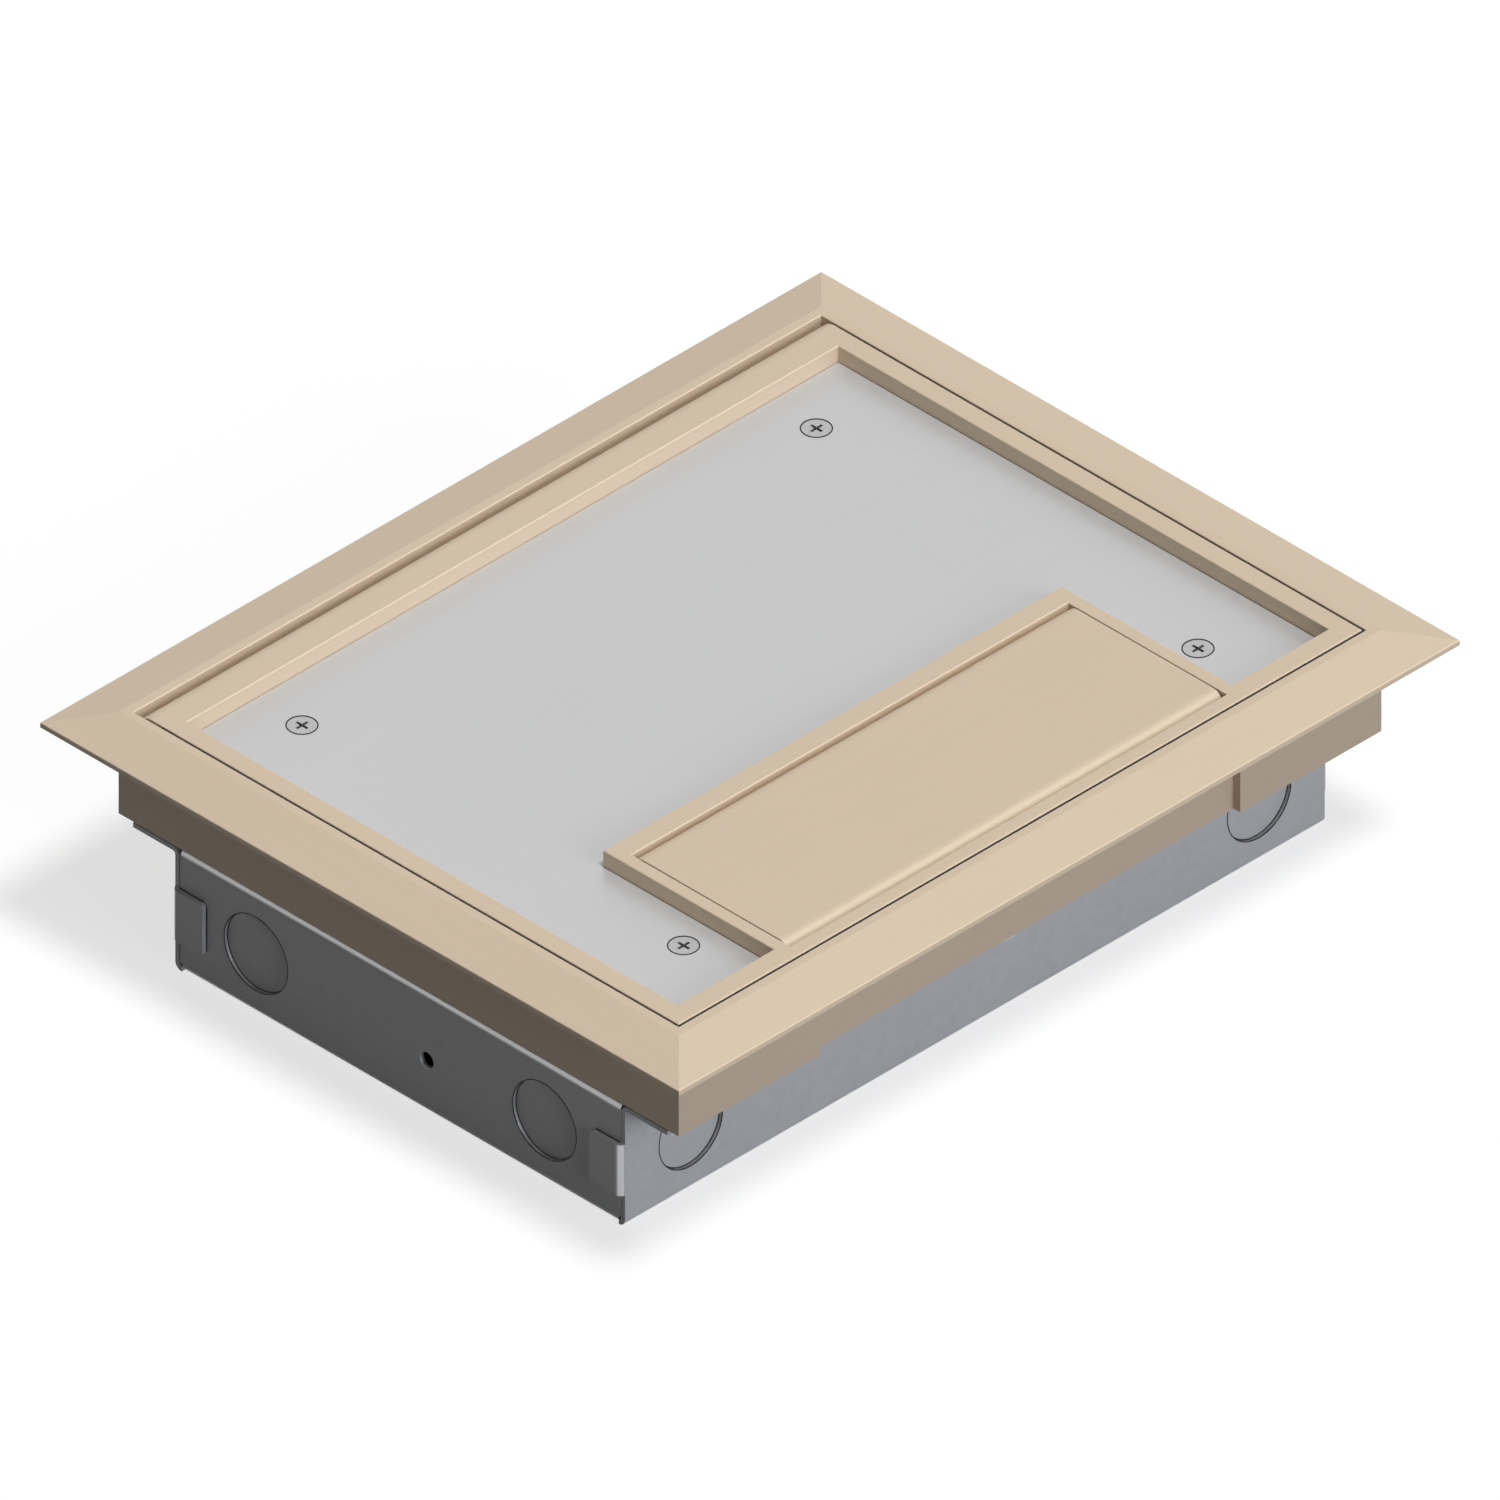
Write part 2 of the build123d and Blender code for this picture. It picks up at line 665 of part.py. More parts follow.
def lid_frame():
    """The lid's frame in one piece with the surround of the flap."""
    lid = span((-lid_x, lid_x), (lid_front, lid_pivot_y), (lid_bottom, trim_top))
    lid += rod_x(lid_depth / 2, -lid_x, lid_x, lid_pivot_y, lid_pivot_z)
    lid -= span((-recess_x, recess_x), (recess_front, recess_rear), (plate_bottom, trim_top + overcut))
    lid -= span((-recess_x + plate_ledge, recess_x - plate_ledge),
                (recess_front + plate_ledge, recess_rear - plate_ledge),
                (lid_bottom - overcut, plate_bottom + overcut))
    lid += span((-surround_x, surround_x), (recess_front - overcut, surround_back), (lid_bottom, trim_top))
    lid += span((-surround_x - surround_ledge, surround_x + surround_ledge),
                (recess_front - overcut, surround_back + surround_ledge), (lid_bottom, plate_bottom))
    lid -= span((-window_x, window_x), (window_front, window_back), (lid_bottom - overcut, trim_top + overcut))
    stop_y = flap_front_bead_y + flap_stop_inset
    for side in (-1, 1):
        lid += span((side * (window_x - flap_stop_width), side * (window_x + overcut)),
                    (stop_y, stop_y + flap_stop_length), (lid_bottom, trim_top - flap_web - flap_stop_gap))
        bore = lid_pin_diameter / 2 + pin_running_gap
        lid -= rod_x(bore, side * (lid_x - lid_pin_in_lid - pin_end_gap), side * (lid_x + overcut),
                     lid_pivot_y, lid_pivot_z)
        lid -= rod_x(flap_pin_diameter / 2, side * (window_x - overcut), side * (window_x + flap_pin_in_surround),
                     flap_pivot_y, flap_pivot_z)
    rim = [e for e in edges_at(lid, trim_top) if abs(e.center().Y - lid_pivot_y) > lid_depth / 2]
    return fillet(rim, edge_round)


def lid_screw_places():
    """The plan of the four screws of the lid's plate."""
    return [(side * lid_screw_x, y) for y in lid_screw_rows for side in (-1, 1)]


def lid_plate():
    """The inlay plate of the lid, cut out round the flap surround and countersunk for its screws."""
    plate = span((-recess_x + plate_gap, recess_x - plate_gap), (recess_front + plate_gap, recess_rear - plate_gap),
                 (plate_bottom, plate_top))
    plate -= span((-surround_x - plate_gap, surround_x + plate_gap),
                  (recess_front - overcut, surround_back + plate_gap), (plate_bottom - overcut, plate_top + overcut))
    for x, y in lid_screw_places():
        plate -= rod_z(lid_screw_diameter / 2 + screw_clearance, x, y, plate_bottom - overcut, plate_top + overcut)
        plate -= countersunk_head(x, y)
    return plate


def countersunk_head(x, y):
    """The conical head of a lid screw, flush with the plate."""
    head = Cone(lid_screw_diameter / 2, lid_screw_head / 2, lid_screw_head_depth)
    return Pos(x, y, plate_top - lid_screw_head_depth / 2) * head


def lid_screws():
    """The countersunk screws that draw the plate and the clamp bars together."""
    end = lid_bottom - clamp_bar_thickness - screw_tail
    screws = []
    for x, y in lid_screw_places():
        screw = countersunk_head(x, y) + rod_z(lid_screw_diameter / 2, x, y, end, plate_top - lid_screw_head_depth)
        screws.append(screw - cross_recess(x, y, plate_top))
    return screws


def clamp_bar(side):
    """A steel bar under the lid, with a raised pad at each of its two screws."""
    x = side * lid_screw_x
    bar = span((x - clamp_bar_width / 2, x + clamp_bar_width / 2),
               (recess_front + plate_ledge - clamp_bar_overlap, recess_rear - plate_ledge + clamp_bar_overlap),
               (lid_bottom - clamp_bar_thickness, lid_bottom))
    for y in lid_screw_rows:
        bar += rod_z(clamp_pad_diameter / 2, x, y, lid_bottom - overcut, plate_bottom)
        bar -= rod_z(lid_screw_diameter / 2, x, y, 0, trim_top)
    return bar


def flap():
    """The cable flap, with a rounded bead along its hinge edge and its front edge."""
    leaf = span((-flap_x, flap_x), (flap_front_bead_y, flap_pivot_y), (trim_top - flap_web, trim_top))
    for y in (flap_front_bead_y, flap_pivot_y):
        leaf += rod_x(flap_bead_radius, -flap_x, flap_x, y, flap_pivot_z)
    leaf = fillet([e for e in leaf.edges() if abs(abs(e.center().X) - flap_x) < tiny], edge_round)
    bore = flap_pin_diameter / 2 + pin_running_gap
    for side in (-1, 1):
        leaf -= rod_x(bore, side * (flap_x - flap_pin_in_flap - pin_end_gap), side * (flap_x + overcut),
                      flap_pivot_y, flap_pivot_z)
    return leaf


def lid_hinge_pin(side):
    """A steel pin pressed in the trim frame, on which the lid turns."""
    return rod_x(lid_pin_diameter / 2, side * (lid_x - lid_pin_in_lid), side * (opening_x + lid_pin_in_frame),
                 lid_pivot_y, lid_pivot_z)


def flap_hinge_pin(side):
    """A steel pin pressed in the surround, on which the flap turns."""
    return rod_x(flap_pin_diameter / 2, side * (flap_x - flap_pin_in_flap), side * (window_x + flap_pin_in_surround),
                 flap_pivot_y, flap_pivot_z)


def socket_nodes():
    """Every piece of the four socket outlets, by name. Each rear outlet has its rocker at the rear."""
    pieces = {"socket_face": socket_face(), "socket_base": socket_base(), "socket_contacts": socket_contacts(),
              "shutter": shutter(), "rocker": rocker()}
    nodes = {}
    for column, side_name in ((-1, "left"), (1, "right")):
        for row, row_name in ((-1, "front"), (1, "rear")):
            place = Pos(column * compartment, row * socket_pitch / 2, 0) * Rot(0, 0, 0 if row > 0 else 180)
            for name, piece in pieces.items():
                solids = piece if isinstance(piece, list) else [piece]
                nodes[f"{name}_{side_name}_{row_name}"] = [place * solid for solid in solids]
    return nodes


def all_nodes():
    """Every node of the part, by name."""
    nodes = {
        "box_channel": box_channel(), "end_panel_left": end_panel(), "end_panel_right": turned(end_panel()),
        "divider_left": mirror(divider(), Plane.YZ), "divider_right": divider(),
        "plate_pillars": plate_pillars(), "plate_screws": plate_screws(),
        "power_plate_left": power_plate(-1), "power_plate_right": power_plate(1),
        "data_plate": data_plate(), "data_jacks": data_jacks(), "earth_terminal": earth_terminal(),
        "frame_gasket": frame_gasket(), "trim_frame": trim_frame(),
        "frame_screws": frame_screws(), "frame_nuts": frame_nuts(), "lid_seal": lid_seal(),
        "lid_frame": lid_frame(), "lid_plate": lid_plate(), "lid_screws": lid_screws(),
        "clamp_bar_left": clamp_bar(-1), "clamp_bar_right": clamp_bar(1), "flap": flap(),
        "lid_hinge_pin_left": lid_hinge_pin(-1), "lid_hinge_pin_right": lid_hinge_pin(1),
        "flap_hinge_pin_left": flap_hinge_pin(-1), "flap_hinge_pin_right": flap_hinge_pin(1),
    }
    nodes.update(socket_nodes())
    return nodes


os.makedirs("parts", exist_ok=True)
for node, shape in all_nodes().items():
    solids = shape if isinstance(shape, list) else [shape]
    export_step(Compound(children=solids) if len(solids) > 1 else solids[0], f"parts/{node}.step")
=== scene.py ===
import json
import logging
import math
from dataclasses import dataclass, field
from enum import Enum
from typing import Any

import bpy
from mathutils import Matrix, Vector

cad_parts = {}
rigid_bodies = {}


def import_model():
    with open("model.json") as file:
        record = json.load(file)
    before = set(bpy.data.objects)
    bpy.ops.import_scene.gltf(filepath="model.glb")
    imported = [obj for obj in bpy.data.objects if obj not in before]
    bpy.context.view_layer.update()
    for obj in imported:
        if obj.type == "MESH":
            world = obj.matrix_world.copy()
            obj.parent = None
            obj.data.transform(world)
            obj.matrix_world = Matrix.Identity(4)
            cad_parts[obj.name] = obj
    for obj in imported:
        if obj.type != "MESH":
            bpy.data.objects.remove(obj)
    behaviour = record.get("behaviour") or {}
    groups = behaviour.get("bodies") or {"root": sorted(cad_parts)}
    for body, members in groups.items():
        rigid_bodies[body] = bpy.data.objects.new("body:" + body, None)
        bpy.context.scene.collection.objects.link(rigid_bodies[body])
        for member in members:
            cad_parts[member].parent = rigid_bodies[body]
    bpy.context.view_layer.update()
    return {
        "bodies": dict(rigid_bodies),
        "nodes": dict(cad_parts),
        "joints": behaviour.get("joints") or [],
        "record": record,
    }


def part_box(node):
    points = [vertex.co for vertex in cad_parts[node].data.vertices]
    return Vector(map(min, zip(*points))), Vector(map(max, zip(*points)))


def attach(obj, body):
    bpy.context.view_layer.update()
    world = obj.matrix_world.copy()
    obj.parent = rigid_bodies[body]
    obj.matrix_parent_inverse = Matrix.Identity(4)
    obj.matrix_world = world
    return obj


# The looks of a floor socket box: its finishes, its small parts, the floor, the lights and the camera.

LOG = logging.getLogger("floor_box")
MM = 0.001
SIDES = ("left", "right")
ROWS = ("front", "rear")
WHITE = "#FFFFFF"
QUARTER = math.pi / 2
# The length of a curve's handle, as a share of the radius, that makes each quarter of it a true quarter circle.
CIRCLE_HANDLE = (math.sqrt(2) - 1) * 4 / 3
# How many straight pieces make a quarter of a wire's rim, and one softened edge.
WIRE_STEPS = 2
EDGE_STEPS = 2
# Points closer than this are joined before an edge is softened, and only an edge that turns more than this is.
JOIN_MM = 0.001
SHARP_DEG = 50


def linear(hex_colour: str) -> tuple[float, float, float, float]:
    """Turns an sRGB hex colour to linear light.

    Args:
        hex_colour: six hex digits after a hash sign.

    Returns:
        The red, green, blue and alpha values.
    """
    parts = [int(hex_colour[i:i + 2], 16) / 255 for i in (1, 3, 5)]
    return (*[c / 12.92 if c <= 0.04045 else ((c + 0.055) / 1.055) ** 2.4 for c in parts], 1.0)


def add_node(tree: bpy.types.NodeTree, kind: str, inputs: dict[Any, Any] | None = None,
             **settings: Any) -> bpy.types.Node:
    """Adds one shader node, with its settings, values and links.

    Args:
        tree: the node tree of a material or of the world.
        kind: the type name of the node.
        inputs: for each input's name or number, a value, or the output socket to link from.
        settings: attributes of the node itself.

    Returns:
        The new node.
    """
    node = tree.nodes.new(kind)
    for name, value in settings.items():
        setattr(node, name, value)
    for key, value in (inputs or {}).items():
        if isinstance(value, bpy.types.NodeSocket):
            tree.links.new(value, node.inputs[key])
        else:
            node.inputs[key].default_value = value
    return node


class Grain(Enum):
    """The way the fine lines of a rolled or brushed surface run."""

    ALONG_X = "along the long side"
    ROUND_FRAME = "along each side of a frame, meeting at its corners"


@dataclass(frozen=True)
class WornAndHighlightedEdges:
    """How a finish looks on folds and rounded edges: rubbed bright there by tools, hands and feet, and painted
    lighter there as a painted highlight of the light that such edges catch.
    """

    colour: str
    metallic: float
    roughness: float
    flat_cosine: float = 0.96
    wear_and_highlight_cosine: float = 0.88

    def where(self, tree: bpy.types.NodeTree) -> bpy.types.NodeSocket:
        """Finds the folds and rounded edges, whose surface faces none of the object's own directions.

        Args:
            tree: the node tree.

        Returns:
            0 on flat faces, 1 on folds and rounded edges.
        """
        facing = add_node(tree, "ShaderNodeTexCoord").outputs["Normal"]
        lengths = add_node(tree, "ShaderNodeVectorMath", {0: facing}, operation="ABSOLUTE").outputs[0]
        axes = add_node(tree, "ShaderNodeSeparateXYZ", {"Vector": lengths}).outputs
        level = add_node(tree, "ShaderNodeMath", {0: axes["X"], 1: axes["Y"]}, operation="MAXIMUM").outputs[0]
        most = add_node(tree, "ShaderNodeMath", {0: level, 1: axes["Z"]}, operation="MAXIMUM").outputs[0]
        return add_node(tree, "ShaderNodeMapRange", {
            "Value": most, "From Min": self.wear_and_highlight_cosine, "From Max": self.flat_cosine, "To Min": 1.0,
            "To Max": 0.0}).outputs["Result"]


@dataclass(frozen=True)
class Finish:
    """What every finish shares: a name, a colour and how its surface scatters light."""

    name: str
    colour: str
    metallic: float
    roughness: float
    specular: float = 0.5
    wear_and_highlight: WornAndHighlightedEdges | None = None

    def start(self) -> tuple[bpy.types.Material, bpy.types.NodeTree, bpy.types.Node, bpy.types.NodeSocket]:
        """Starts the material.

        Returns:
            The material, its node tree, the surface shader in it, and the place on the surface in metres.
        """
        material = bpy.data.materials.new(self.name)
        material.use_nodes = True
        tree = material.node_tree
        tree.nodes.clear()
        shader = add_node(tree, "ShaderNodeBsdfPrincipled", {"Metallic": self.metallic,
                                                            "Specular IOR Level": self.specular})
        add_node(tree, "ShaderNodeOutputMaterial", {"Surface": shader.outputs["BSDF"]})
        spot = add_node(tree, "ShaderNodeTexCoord").outputs["Object"]
        return material, tree, shader, spot

    def vary(self, tree: bpy.types.NodeTree, shader: bpy.types.Node, amount: bpy.types.NodeSocket,
             contrast: float, spread: float) -> None:
        """Lets one pattern vary the colour and the roughness about their written values.

        Args:
            tree: the node tree.
            shader: the surface shader.
            amount: the pattern, from 0 to 1.
            contrast: how much darker and lighter the colour gets, as a share.
            spread: how much the roughness moves either way.
        """
        value = add_node(tree, "ShaderNodeMapRange", {
            "Value": amount, "To Min": 1 - contrast, "To Max": 1 + contrast})
        colour = add_node(tree, "ShaderNodeHueSaturation",
                          {"Color": linear(self.colour), "Value": value.outputs["Result"]}).outputs["Color"]
        rough = add_node(tree, "ShaderNodeMapRange", {
            "Value": amount, "To Min": self.roughness - spread,
            "To Max": self.roughness + spread}).outputs["Result"]
        # On folds and rounded edges the colour turns lighter, partly wear and partly a painted highlight; the
        # roughness and the metallic change there too.
        if self.wear_and_highlight:
            share = self.wear_and_highlight.where(tree)
            colour = add_node(tree, "ShaderNodeMix", {0: share, 6: colour, 7: linear(self.wear_and_highlight.colour)},
                              data_type="RGBA").outputs[2]
            rough = add_node(tree, "ShaderNodeMix", {0: share, 2: rough, 3: self.wear_and_highlight.roughness},
                             data_type="FLOAT").outputs[0]
            edge_metallic = add_node(tree, "ShaderNodeMix", {0: share, 2: self.metallic, 3: self.wear_and_highlight.metallic},
                            data_type="FLOAT").outputs[0]
            tree.links.new(edge_metallic, shader.inputs["Metallic"])
        tree.links.new(colour, shader.inputs["Base Color"])
        tree.links.new(rough, shader.inputs["Roughness"])

    def emboss(self, tree: bpy.types.NodeTree, shader: bpy.types.Node, height: bpy.types.NodeSocket,
               strength: float, relief_mm: float) -> None:
        """Raises and sinks the surface by a pattern.

        Args:
            tree: the node tree.
            shader: the surface shader.
            height: the pattern, from 0 to 1.
            strength: how clearly it shows.
            relief_mm: its depth.
        """
        bump = add_node(tree, "ShaderNodeBump", {"Height": height, "Strength": strength, "Distance": relief_mm * MM})
        tree.links.new(bump.outputs["Normal"], shader.inputs["Normal"])


@dataclass(frozen=True)
class BrushedMetal(Finish):
    """Metal with fine lines that all run one way, as rolling, brushing or anodising over a brushed face leaves."""

    grain: Grain = Grain.ALONG_X
    line_mm: float = 0.5
    length_mm: float = 45.0
    patch_mm: float = 60.0
    contrast: float = 0.06
    spread: float = 0.05
    relief_mm: float = 0.012
    half_size_mm: tuple[float, float] = (0.0, 0.0)
    line_detail: float = 3.0
    line_raggedness: float = 0.6
    patch_detail: float = 2.0
    patch_share: float = 0.3
    relief_strength: float = 0.35

    def along_grain(self, tree: bpy.types.NodeTree, spot: bpy.types.NodeSocket) -> bpy.types.NodeSocket:
        """Turns the place on the surface so that the grain lies along its first axis.

        Args:
            tree: the node tree.
            spot: the place in metres.

        Returns:
            The turned place.
        """
        if self.grain is Grain.ALONG_X:
            return spot
        axes = add_node(tree, "ShaderNodeSeparateXYZ", {"Vector": spot}).outputs
        turned = add_node(tree, "ShaderNodeCombineXYZ", {"X": axes["Y"], "Y": axes["X"], "Z": axes["Z"]})
        reach = []
        for axis, half in zip("XY", self.half_size_mm):
            length = add_node(tree, "ShaderNodeMath", {0: axes[axis]}, operation="ABSOLUTE")
            reach.append(add_node(tree, "ShaderNodeMath", {0: length.outputs[0], 1: half * MM}, operation="SUBTRACT"))
        on_end = add_node(tree, "ShaderNodeMath", {0: reach[0].outputs[0], 1: reach[1].outputs[0]},
                          operation="GREATER_THAN")
        mix = add_node(tree, "ShaderNodeMix", {"Factor": on_end.outputs[0], 4: spot, 5: turned.outputs["Vector"]},
                       data_type="VECTOR")
        return mix.outputs[1]

    def material(self) -> bpy.types.Material:
        """Makes the material.

        Returns:
            The material, ready for a piece.
        """
        material, tree, shader, spot = self.start()
        spot = self.along_grain(tree, spot)
        # Real brushing is about 0.1 mm wide, so the lines are drawn some five times as coarse, to show at all.
        fine = 1 / (self.line_mm * MM)
        stretch = add_node(tree, "ShaderNodeMapping", {
            "Vector": spot, "Scale": (1 / (self.length_mm * MM), fine, fine)})
        lines = add_node(tree, "ShaderNodeTexNoise", {
            "Vector": stretch.outputs[0], "Scale": 1.0, "Detail": self.line_detail,
            "Roughness": self.line_raggedness})
        # Soft patches, where the bath or the rollers took a little more or less.
        patches = add_node(tree, "ShaderNodeTexNoise", {
            "Vector": spot, "Scale": 1 / (self.patch_mm * MM), "Detail": self.patch_detail})
        both = add_node(tree, "ShaderNodeMix", {
            "Factor": self.patch_share, 2: lines.outputs["Fac"], 3: patches.outputs["Fac"]}, data_type="FLOAT")
        self.vary(tree, shader, both.outputs[0], self.contrast, self.spread)
        self.emboss(tree, shader, lines.outputs["Fac"], self.relief_strength, self.relief_mm)
        return material


@dataclass(frozen=True)
class ZincSheet(Finish):
    """Coated, plated or rolled metal: a fine mottle of small crystals with a dull shine."""

    crystal_mm: float = 3.0
    cloud_mm: float = 45.0
    contrast: float = 0.08
    spread: float = 0.07
    relief_mm: float = 0.01
    cloud_detail: float = 3.0
    cloud_share: float = 0.5
    relief_strength: float = 0.3

    def material(self) -> bpy.types.Material:
        """Makes the material.

        Returns:
            The material, ready for a piece.
        """
        material, tree, shader, spot = self.start()
        # Hot-dip crystals are drawn at their real 3 mm. Plated ones are far too fine to see, so they are drawn
        # 0.4 to 1.2 mm wide, to show at all.
        crystals = add_node(tree, "ShaderNodeTexVoronoi", {"Vector": spot, "Scale": 1 / (self.crystal_mm * MM)},
                            feature="F1")
        grey = add_node(tree, "ShaderNodeRGBToBW", {"Color": crystals.outputs["Color"]})
        cloud = add_node(tree, "ShaderNodeTexNoise", {
            "Vector": spot, "Scale": 1 / (self.cloud_mm * MM), "Detail": self.cloud_detail})
        both = add_node(tree, "ShaderNodeMix", {
            "Factor": self.cloud_share, 2: grey.outputs[0], 3: cloud.outputs["Fac"]}, data_type="FLOAT")
        self.vary(tree, shader, both.outputs[0], self.contrast, self.spread)
        self.emboss(tree, shader, grey.outputs[0], self.relief_strength, self.relief_mm)
        return material


@dataclass(frozen=True)
class Moulding(Finish):
    """Moulded plastic or rubber, with the fine spark-eroded texture that its mould left."""

    texture_mm: float = 0.6
    contrast: float = 0.02
    spread: float = 0.04
    relief_mm: float = 0.02
    detail: float = 2.0
    clouds_per_metre: float = 30.0
    relief_strength: float = 0.25

    def material(self) -> bpy.types.Material:
        """Makes the material.

        Returns:
            The material, ready for a piece.
        """
        material, tree, shader, spot = self.start()
        # Spark erosion leaves pits of about 0.1 mm, so they are drawn some six times as coarse, to show at all.
        skin = add_node(tree, "ShaderNodeTexNoise", {
            "Vector": spot, "Scale": 1 / (self.texture_mm * MM), "Detail": self.detail})
        cloud = add_node(tree, "ShaderNodeTexNoise", {
            "Vector": spot, "Scale": self.clouds_per_metre, "Detail": self.detail})
        self.vary(tree, shader, cloud.outputs["Fac"], self.contrast, self.spread)
        self.emboss(tree, shader, skin.outputs["Fac"], self.relief_strength, self.relief_mm)
        return material


# Rolled and satin-anodised aluminium: warm and even, a dull shine, edges a little lighter, partly rubbed and partly a
# painted highlight.
CHAMPAGNE_EDGES = WornAndHighlightedEdges("#DCCAB1", metallic=0.12, roughness=0.42)


def champagne(name: str, grain: Grain, half_size_mm: tuple[float, float] = (0.0, 0.0)) -> BrushedMetal:
    """Gives the champagne finish of the frame, the lid and the flap.

    Args:
        name: the material's name.
        grain: which way the fine lines run.
        half_size_mm: half the length and width of a frame that the lines follow round.

    Returns:
        The finish.
    """
    return BrushedMetal(name, "#D3C0A7", metallic=0.05, roughness=0.48, specular=0.25, wear_and_highlight=CHAMPAGNE_EDGES,
                        grain=grain, half_size_mm=half_size_mm)


def dress(frame: dict[str, Any], material: bpy.types.Material, *names: str) -> None:
    """Gives modelled nodes a finish.

    Args:
        frame: the loaded frame.
        material: the finish.
        names: the nodes that take it.
    """
    for name in names:
        piece = frame["nodes"][name]
        piece.data.materials.clear()
        piece.data.materials.append(material)
        LOG.info("%s is dressed in %s", name, material.name)


def soften(frame: dict[str, Any], width_mm: float, *names: str) -> None:
    """Rounds the sharp edges of modelled nodes by a little, so that they catch the light.

    Args:
        frame: the loaded frame.
        width_mm: how far each edge is cut back.
        names: the nodes.
    """
    for name in names:
        piece = frame["nodes"][name]
        weld = piece.modifiers.new("joined_faces", "WELD")
        weld.merge_threshold = JOIN_MM * MM
        bevel = piece.modifiers.new("soft_edges", "BEVEL")
        bevel.width = width_mm * MM
        bevel.segments = EDGE_STEPS
        bevel.limit_method = "ANGLE"
        bevel.angle_limit = math.radians(SHARP_DEG)
        bevel.harden_normals = True
        LOG.info("%s has edges softened by %.2f mm", name, width_mm)


def add_piece(name: str, data: bpy.types.ID, material: bpy.types.Material, body: str) -> bpy.types.Object:
    """Adds a piece to the scene and lets it ride on a body.

    Args:
        name: the piece's name.
        data: its mesh or curve.
        material: its finish.
        body: the body that carries it.

    Returns:
        The new piece.
    """
    piece = bpy.data.objects.new(name, data)
    bpy.context.scene.collection.objects.link(piece)
    data.materials.append(material)
    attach(piece, body)
    LOG.info("%s rides on %s", name, body)
    return piece


def new_wire(name: str, radius_mm: float) -> bpy.types.Curve:
    """Starts a curve that is drawn as round wire.

    Args:
        name: the curve's name.
        radius_mm: half the wire's thickness.

    Returns:
        The curve, still empty.
    """
    wire = bpy.data.curves.new(name, "CURVE")
    wire.dimensions = "3D"
    wire.bevel_depth = radius_mm * MM
    wire.bevel_resolution = WIRE_STEPS
    return wire


def rounded_outline(length_mm: float, width_mm: float, radius_mm: float,
                    steps: int = 5) -> list[tuple[float, float]]:
    """Draws a rectangle with rounded corners about the origin.

    Args:
        length_mm: its size along the first axis.
        width_mm: its size along the second axis.
        radius_mm: the radius of its corners.
        steps: how many straight pieces make one corner.

    Returns:
        The points of the outline in millimetres, anticlockwise.
    """
    points = []
    for quarter, (x, y) in enumerate(((1, 1), (-1, 1), (-1, -1), (1, -1))):
        centre = (x * (length_mm / 2 - radius_mm), y * (width_mm / 2 - radius_mm))
        for step in range(steps + 1):
            angle = (quarter + step / steps) * QUARTER
            points.append((centre[0] + radius_mm * math.cos(angle), centre[1] + radius_mm * math.sin(angle)))
    return points


def prism(name: str, outline: list[tuple[float, float]], low_mm: float, high_mm: float,
          place: Matrix) -> bpy.types.Mesh:
    """Makes a solid of one thickness from its outline.

    Args:
        name: the mesh's name.
        outline: the points of the outline in millimetres, anticlockwise.
        low_mm: the height of its underside.
        high_mm: the height of its top.
        place: where it stands and how it is turned.

    Returns:
        The closed mesh.
    """
    count = len(outline)
    points = [place @ (Vector((x, y, z)) * MM) for z in (low_mm, high_mm) for x, y in outline]
    sides = [(i, (i + 1) % count, (i + 1) % count + count, i + count) for i in range(count)]
    mesh = bpy.data.meshes.new(name)
    mesh.from_pydata(points, [], [tuple(reversed(range(count))), tuple(range(count, 2 * count)), *sides])
    return mesh


def add_line(wire: bpy.types.Curve, points: list[Vector]) -> None:
    """Adds one open line of straight pieces to a curve.

    Args:
        wire: the curve.
        points: the places that it runs through, in metres.
    """
    line = wire.splines.new("POLY")
    line.points.add(len(points) - 1)
    for point, spot in zip(line.points, points):
        point.co = (*spot, 1.0)


def add_circle(wire: bpy.types.Curve, centre: Vector, axis: Vector, radius_mm: float) -> None:
    """Adds one true circle to a curve.

    Args:
        wire: the curve.
        centre: the circle's centre in metres.
        axis: the direction that it faces.
        radius_mm: its radius.
    """
    turn = axis.to_track_quat("Z", "Y")
    radius = radius_mm * MM
    handle = radius * CIRCLE_HANDLE
    circle = wire.splines.new("BEZIER")
    circle.bezier_points.add(3)
    circle.use_cyclic_u = True
    for quarter, point in enumerate(circle.bezier_points):
        angle = quarter * QUARTER
        out = Vector((math.cos(angle), math.sin(angle), 0)) * radius
        along = Vector((-math.sin(angle), math.cos(angle), 0)) * handle
        point.handle_left_type = point.handle_right_type = "FREE"
        point.co = centre + turn @ out
        point.handle_left = centre + turn @ (out - along)
        point.handle_right = centre + turn @ (out + along)


